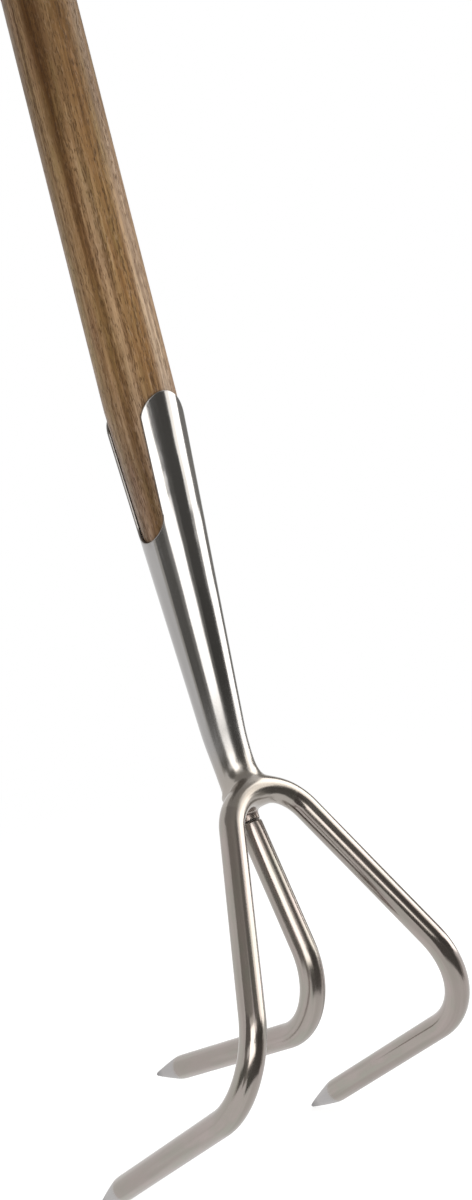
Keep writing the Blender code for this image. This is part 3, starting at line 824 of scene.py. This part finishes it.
def true_normals(mesh, points):
    """Normals of the skin and the cone that the mesh stands for; its own on the straps' edges."""
    normals = np.array([v.vector for v in mesh.vertex_normals], float)
    low = points[:, 2] < COLLAR_Z - 0.0002
    slopes = gradient(skin_distance, points[low])
    normals[low] = slopes / np.linalg.norm(slopes, axis=1)[:, None]
    off = points[:, :2] - (0.0, AXIS_Y)
    reach = np.linalg.norm(off, axis=1)
    on_cone = ~low & (np.abs(reach - cone_radius(points[:, 2])) < 2e-6)
    away = np.column_stack((off / np.maximum(reach, 1e-9)[:, None], np.full(len(off), -CONE_SLOPE)))
    normals[on_cone] = away[on_cone] / sqrt(1 + CONE_SLOPE ** 2)
    return [tuple(v) for v in normals]


def build_socket():
    """Two pieces: the socket with its neck and saddle, and the weld bead under the arch."""
    form = voxel_skin()
    # carries the painted dark reflection along the straps' cut edges
    form.verts.layers.float.new("edge")
    seam = collar_edges(form)
    for v in {v for e in seam for v in e.verts}:
        v.co.z -= 0.0004
    add_cone(form)
    bmesh.ops.remove_doubles(form, verts=form.verts, dist=2e-7)
    loose = [v for v in form.verts if not v.link_faces]
    bmesh.ops.delete(form, geom=loose, context="VERTS")
    bmesh.ops.bridge_loops(form, edges=seam + collar_edges(form))
    bmesh.ops.recalc_face_normals(form, faces=form.faces)
    centres = np.array([f.calc_center_median() for f in form.faces], float)
    beads = (depth_in_bead(centres) > 0.0) & (centres[:, 2] < SEAM_TOP_Z)
    for face, bead in zip(form.faces, beads):
        face.material_index = int(bead)
    mesh = bpy.data.meshes.new("steel_skin")
    form.to_mesh(mesh)
    form.free()
    mesh.shade_smooth()
    points = np.array([v.co for v in mesh.vertices], float)
    store_grain(mesh, unrolled(points))
    in_bead = np.clip(depth_in_bead(points) / BEAD_FADE, 0.0, 1.0)
    mesh.attributes.new("in_bead", "FLOAT", "POINT").data.foreach_set("value", in_bead)
    mesh.normals_split_custom_set_from_vertices(true_normals(mesh, points))
    return [part_of(mesh, name, index) for index, name in enumerate(("socket_body", "weld_bead"))]


def unrolled(points):
    """Grain that follows the cone: above the collar the way round counts as at the collar."""
    grain = points - vec(0.0, AXIS_Y, 0.0)
    reach = np.linalg.norm(grain[:, :2], axis=1)
    shrink = cone_radius(COLLAR_Z) / np.maximum(cone_radius(grain[:, 2]), reach)
    grain[:, :2] *= np.where(grain[:, 2] > COLLAR_Z, shrink, 1.0)[:, None]
    return grain


def part_of(mesh, name, index):
    """The faces of one material index as an object of its own, with the whole skin's normals."""
    part = mesh.copy()
    part.name = name
    corner = np.array([v.vector for v in mesh.corner_normals], float)
    keep = [p for p in mesh.polygons if p.material_index == index]
    kept_corners = np.concatenate([np.arange(p.loop_start, p.loop_start + p.loop_total) for p in keep])
    form = bmesh.new()
    form.from_mesh(part)
    bmesh.ops.delete(form, geom=[f for f in form.faces if f.material_index != index], context="FACES")
    for face in form.faces:
        face.material_index = 0
    form.to_mesh(part)
    form.free()
    part.normals_split_custom_set([tuple(v) for v in corner[kept_corners]])
    obj = bpy.data.objects.new(name, part)
    bpy.context.scene.collection.objects.link(obj)
    return obj


# The handle and the screw

def lathe(name, profile, sides, centre, turn=None):
    """A turned solid from (radius, height) points that start and end on the axis."""
    verts, faces = [], []
    for radius, z in profile[1:-1]:
        for k in range(sides):
            a = 2 * pi * k / sides
            verts.append((radius * cos(a), radius * sin(a), z))
    rings = len(profile) - 2
    for i in range(rings - 1):
        for k in range(sides):
            a, b = i * sides + k, i * sides + (k + 1) % sides
            faces.append((a, a + sides, b + sides, b))
    for ring, (radius, z), flip in ((0, profile[0], 1), (rings - 1, profile[-1], -1)):
        verts.append((0.0, 0.0, z))
        rim = [ring * sides + k for k in range(sides)]
        faces += [(rim[k], rim[(k + 1) % sides], len(verts) - 1)[::flip] for k in range(sides)]
    verts = np.array(verts)
    if turn is not None:
        verts = verts @ np.array(turn.to_3x3()).T
    return new_object(name, verts + centre, faces)


def build_handle():
    """A round shaft with a rounded butt, tapered at its foot to fit the socket's inner wall."""
    turns = np.linspace(pi / 2, 0, 14)
    rim = HANDLE_RADIUS - BUTT_ROUND
    profile = [(0.0, HANDLE_TOP), (rim * 0.5, HANDLE_TOP), (rim * 0.97, HANDLE_TOP)]
    for t in turns:
        profile.append((rim + BUTT_ROUND * cos(t), HANDLE_TOP - BUTT_ROUND + BUTT_ROUND * sin(t)))
    inset = WALL + GAP
    taper_z = NECK_TOP_Z + (HANDLE_RADIUS + inset - NECK_TOP_RADIUS) / CONE_SLOPE
    for z in np.linspace(HANDLE_TOP - BUTT_ROUND - 0.02, taper_z + 0.004, 40):
        profile.append((HANDLE_RADIUS, z))
    profile += [(HANDLE_RADIUS - 0.00004, taper_z), (HANDLE_RADIUS - 0.00022, taper_z - 0.003)]
    for z in np.linspace(taper_z - 0.01, HANDLE_FOOT, 8):
        profile.append((cone_radius(z) - inset, z))
    profile.append((0.0, HANDLE_FOOT))
    return lathe("handle_shaft", profile, 160, vec(0, AXIS_Y, 0))


def build_screw():
    """Countersunk head with a straight slot, tilted to its strap's slope and a hair proud of it."""
    tilt = np.arctan(CONE_SLOPE)
    turn = Matrix.Rotation(radians(90) + tilt, 3, "X")
    seat = vec(0, AXIS_Y - cone_radius(SCREW_Z) - SCREW_PROUD, SCREW_Z)
    head, rise = SCREW_HEAD_RADIUS, SCREW_HEAD_RISE
    profile = [(0.0, rise)] + [(head * t, rise * (1 - t ** 2)) for t in np.linspace(0.1, 0.94, 10)]
    profile += [(head * 0.985, -0.00002), (head, -0.0001), (head * 0.97, -0.0003)]
    profile += [(0.0019, -0.0021), (0.0019, -0.0150), (0.0, -0.0178)]
    screw = lathe("screw_head", profile, 64, seat, turn)
    bpy.ops.mesh.primitive_cube_add(size=1.0)
    slot = bpy.context.object
    slot.scale = (head * 2.2, 0.0016, 0.0009)
    slot.location = seat - vec(0, rise, 0)
    slot.rotation_euler = (tilt, radians(24), 0.0)
    cut = screw.modifiers.new("slot", "BOOLEAN")
    cut.operation = "DIFFERENCE"
    cut.object = slot
    mesh = bpy.data.meshes.new_from_object(screw.evaluated_get(bpy.context.evaluated_depsgraph_get()))
    screw.modifiers.clear()
    screw.data = mesh
    mesh.set_sharp_from_angle(angle=radians(35))
    bpy.data.objects.remove(slot, do_unlink=True)
    return screw


# Studio: white surroundings, soft lamps, dark and bright cards that only reflections see

FRONT = unit(vec(0.6494, 0.7604, 0.0))
RIGHT = vec(-0.7605, 0.6494, 0.0)
MIDDLE = vec(0.0, AXIS_Y, 0.0)
RING = 1.5                      # distance of the lamps
CARDS = 1.45                    # distance of the cards, just in front of them
CARD_STEPS = 12
WARM = (1.03, 1.0, 0.94)        # tint of the cards
CEILING_Z = 3.0
CEILING_FRONT = 2.6             # how far the ceiling card reaches
CEILING_BACK = 1.5
CEILING_STEPS = 25
FLOOR_HALF = 14.0
FLOOR_GREY = 0.80
FLOOR_GLOW = 0.64               # lifts the floor to white where it is seen, on top of the lamps' light
ROOM_LIGHT = 0.45               # the white room's share in lighting the object


def around(turn, distance=RING):
    """A point on the floor, seen from the tool: 0 is towards the camera, 90 is the picture's right."""
    a = radians(turn)
    return MIDDLE + distance * (cos(a) * FRONT + sin(a) * RIGHT)


def card_material(name, colour):
    material = bpy.data.materials.new(name)
    n = Nodes(material)
    glow = n.add("Emission")
    glow.inputs["Color"].default_value = (*colour, 1.0)
    n.tree.links.new(glow.outputs[0], n.add("OutputMaterial").inputs[0])
    return material


def only_in_reflections(obj, screens_lamp=False):
    obj.visible_camera = False
    obj.visible_diffuse = False
    obj.visible_shadow = screens_lamp
    obj.visible_transmission = False
    obj.visible_volume_scatter = False


def strip(steps):
    """Faces between two rows of as many points."""
    return [(i, i + 1, i + steps + 1, i + steps) for i in range(steps - 1)]


def ring_card(name, turns, heights, tone, distance=CARDS, screens_lamp=False):
    """An upright card on the ring around the tool."""
    steps = np.linspace(turns[0], turns[1], CARD_STEPS)
    verts = [around(t, distance) + vec(0, 0, z) for z in heights for t in steps]
    card = new_object(name, verts, strip(CARD_STEPS))
    card.data.materials.append(card_material(name, tuple(tone * part for part in WARM)))
    only_in_reflections(card, screens_lamp)


def soft_lamp(name, turns, heights, radiance):
    """An upright soft box on the ring, as bright as its radiance all over."""
    half = radians(turns[1] - turns[0]) / 2
    data = bpy.data.lights.new(name, "AREA")
    data.shape = "RECTANGLE"
    data.size = 2 * RING * tan(half)
    data.size_y = heights[1] - heights[0]
    data.energy = pi * data.size * data.size_y * radiance
    data.color = (1.0, 0.985, 0.95)
    lamp = bpy.data.objects.new(name, data)
    place = around(sum(turns) / 2) + vec(0, 0, sum(heights) / 2)
    towards = Vector(vec(0, AXIS_Y, sum(heights) / 2) - place)
    lamp.matrix_world = Matrix.Translation(place) @ towards.to_track_quat("-Z", "Y").to_matrix().to_4x4()
    lamp.visible_camera = False
    bpy.context.scene.collection.objects.link(lamp)


def white_where_seen(n):
    """1 for camera, glossy and transmission rays, 0 for the rays that light the object."""
    path = n.add("LightPath").outputs
    seen = n.math("MAXIMUM", path["Is Camera Ray"], path["Is Glossy Ray"])
    return n.math("MAXIMUM", seen, path["Is Transmission Ray"])


def add_surroundings():
    world = bpy.data.worlds.new("white_room")
    bpy.context.scene.world = world
    n = Nodes(world)
    sky = n.add("Background")
    sky.inputs["Color"].default_value = (1.0, 1.0, 1.0, 1.0)
    n.put(sky.inputs["Strength"], n.spread(white_where_seen(n), 0.0, 1.0, ROOM_LIGHT, 1.0))
    n.tree.links.new(sky.outputs[0], n.add("OutputWorld").inputs[0])

    corners = [(x * FLOOR_HALF, y * FLOOR_HALF, 0) for x, y in ((-1, -1), (1, -1), (1, 1), (-1, 1))]
    floor = new_object("floor", corners, [(0, 1, 2, 3)])
    material = bpy.data.materials.new("floor_white")
    n = Nodes(material)
    paper = n.add("BsdfDiffuse")
    paper.inputs["Color"].default_value = (FLOOR_GREY, FLOOR_GREY, FLOOR_GREY, 1.0)
    glow = n.add("Emission")
    n.put(glow.inputs["Strength"], n.math("MULTIPLY", white_where_seen(n), FLOOR_GLOW))
    both = n.add("AddShader")
    n.tree.links.new(paper.outputs[0], both.inputs[0])
    n.tree.links.new(glow.outputs[0], both.inputs[1])
    n.tree.links.new(both.outputs[0], n.add("OutputMaterial").inputs[0])
    floor.data.materials.append(material)
    floor.visible_glossy = False


def add_ceiling():
    """A grey disc overhead that reaches less far behind the tool than in front of it."""
    turns = np.linspace(-90, 270, CEILING_STEPS)
    verts = [around(t, 0.02) + vec(0, 0, CEILING_Z) for t in turns]
    verts += [around(t, CEILING_FRONT if t < 112 else CEILING_BACK) + vec(0, 0, CEILING_Z) for t in turns]
    disc = new_object("ceiling_flag", verts, strip(CEILING_STEPS))
    disc.data.materials.append(card_material("ceiling_flag", (0.38, 0.37, 0.36)))
    only_in_reflections(disc)


def add_studio():
    """Turns in degrees round the tool, heights in metres; what is below the floor is only reflected."""
    add_surroundings()
    soft_lamp("front_lamp", (-15.5, 23), (0.0, 1.05), 2.42)
    soft_lamp("side_lamp", (90, 131), (0.0, 1.8), 2.38)
    ring_card("front_lamp_fade", (-10, 18), (1.05, 1.35), 0.9)
    ring_card("front_lamp_low_wing", (23, 26), (0.0, 0.10), 2.1)
    ring_card("front_lamp_sill", (-16, 23), (-0.050, 0.0), 2.1)
    ring_card("front_lamp_foot", (-16, 23), (-0.085, -0.050), 0.8)
    ring_card("front_lamp_notch", (14.3, 37), (0.315, 0.445), 0.09, screens_lamp=True)
    ring_card("front_lamp_wing", (23, 37), (0.65, 0.85), 1.7)
    ring_card("front_lamp_wing_edge", (37, 46), (0.65, 0.85), 0.7)
    ring_card("side_lamp_wing_low", (78.5, 90), (0.305, 0.50), 2.4)
    ring_card("side_lamp_wing_mid", (76, 90), (0.50, 1.0), 2.0)
    ring_card("side_lamp_wing_high", (84, 90), (1.0, 1.8), 2.0)
    ring_card("side_lamp_shade", (118.5, 146), (0.34, 0.60), 0.32, screens_lamp=True)
    ring_card("side_lamp_shade_low", (127, 140), (0.27, 0.34), 0.40, screens_lamp=True)
    ring_card("side_lamp_foot", (88, 93.5), (-0.10, 0.20), 0.35, screens_lamp=True)
    ring_card("left_flag_low", (-68, -18), (-0.09, 0.30), 0.17)
    ring_card("left_flag_fade", (-78, -68), (-0.02, 0.33), 0.62)
    ring_card("left_flag_foot", (-36, -12), (-0.40, -0.09), 0.30)
    ring_card("left_flag_mid", (-55, -34), (0.30, 0.55), 0.30)
    ring_card("left_flag_high", (-60, -17), (0.55, 1.5), 0.20)
    ring_card("left_flag_edge", (-17, -11), (0.60, 1.15), 0.50)
    ring_card("right_flag_near", (27, 38), (-0.05, 0.315), 0.25, 1.43)
    ring_card("left_flag_near", (-29, -18), (-0.02, 0.30), 0.33, 1.43)
    ring_card("right_flag_low", (27, 88), (-0.10, 0.20), 0.10)
    ring_card("right_flag_mid", (26, 77), (0.20, 0.50), 0.12)
    ring_card("right_flag_step", (77, 86), (0.20, 0.285), 0.25)
    ring_card("right_flag_high", (40, 76), (0.50, 0.90), 0.20, 1.47)
    ring_card("right_flag_top", (37, 70), (0.90, 1.50), 0.22)
    ring_card("far_side_flag", (133, 160), (0.0, 1.6), 0.30)
    ring_card("table_edge", (-12, 85), (-1.18, -0.09), 0.13)
    ring_card("table_corner", (85, 100), (-0.90, -0.20), 0.40)
    ring_card("upper_flag", (-54, 78), (1.5, 3.4), 0.37, 1.55)
    add_ceiling()


# Put it together

def dress(piece, node, material):
    piece.data.materials.clear()
    piece.data.materials.append(material)
    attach(piece, "root")
    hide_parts(*node)


add_camera()
polished = steel("polished_socket_steel", (0.400, 0.388, 0.380), 0.115, 0.00017, 0.0000030,
                 socket_finish, more_waves_on_straps)
weld_steel = steel("heat_tinted_weld_steel", ROD_STEEL, 0.205, 0.00006, 0.0000030, tinted_by_heat)
rod_steel = steel("polished_rod_steel", ROD_STEEL, 0.15, 0.00005, 0.0000035, ground_tips)
middle_steel = steel("satin_rod_steel", ROD_STEEL, 0.21, 0.00005, 0.0000035, ground_tips)
screw_steel = steel("screw_head_steel", (0.36, 0.35, 0.34), 0.28, 0.00002, 0.0000060, painted_shade_in_slot)
dress(build_handle(), ["handle"], ash("oiled_ash_wood"))
socket, weld = build_socket()
dress(socket, ["socket"], polished)
dress(weld, ["tine_weld"], weld_steel)
dress(build_outer_rod(), ["outer_tines"], rod_steel)
dress(build_middle_rod(), ["middle_tine"], middle_steel)
dress(build_screw(), ["strap_screw"], screw_steel)
add_studio()

bpy.context.scene.view_settings.view_transform = "Standard"
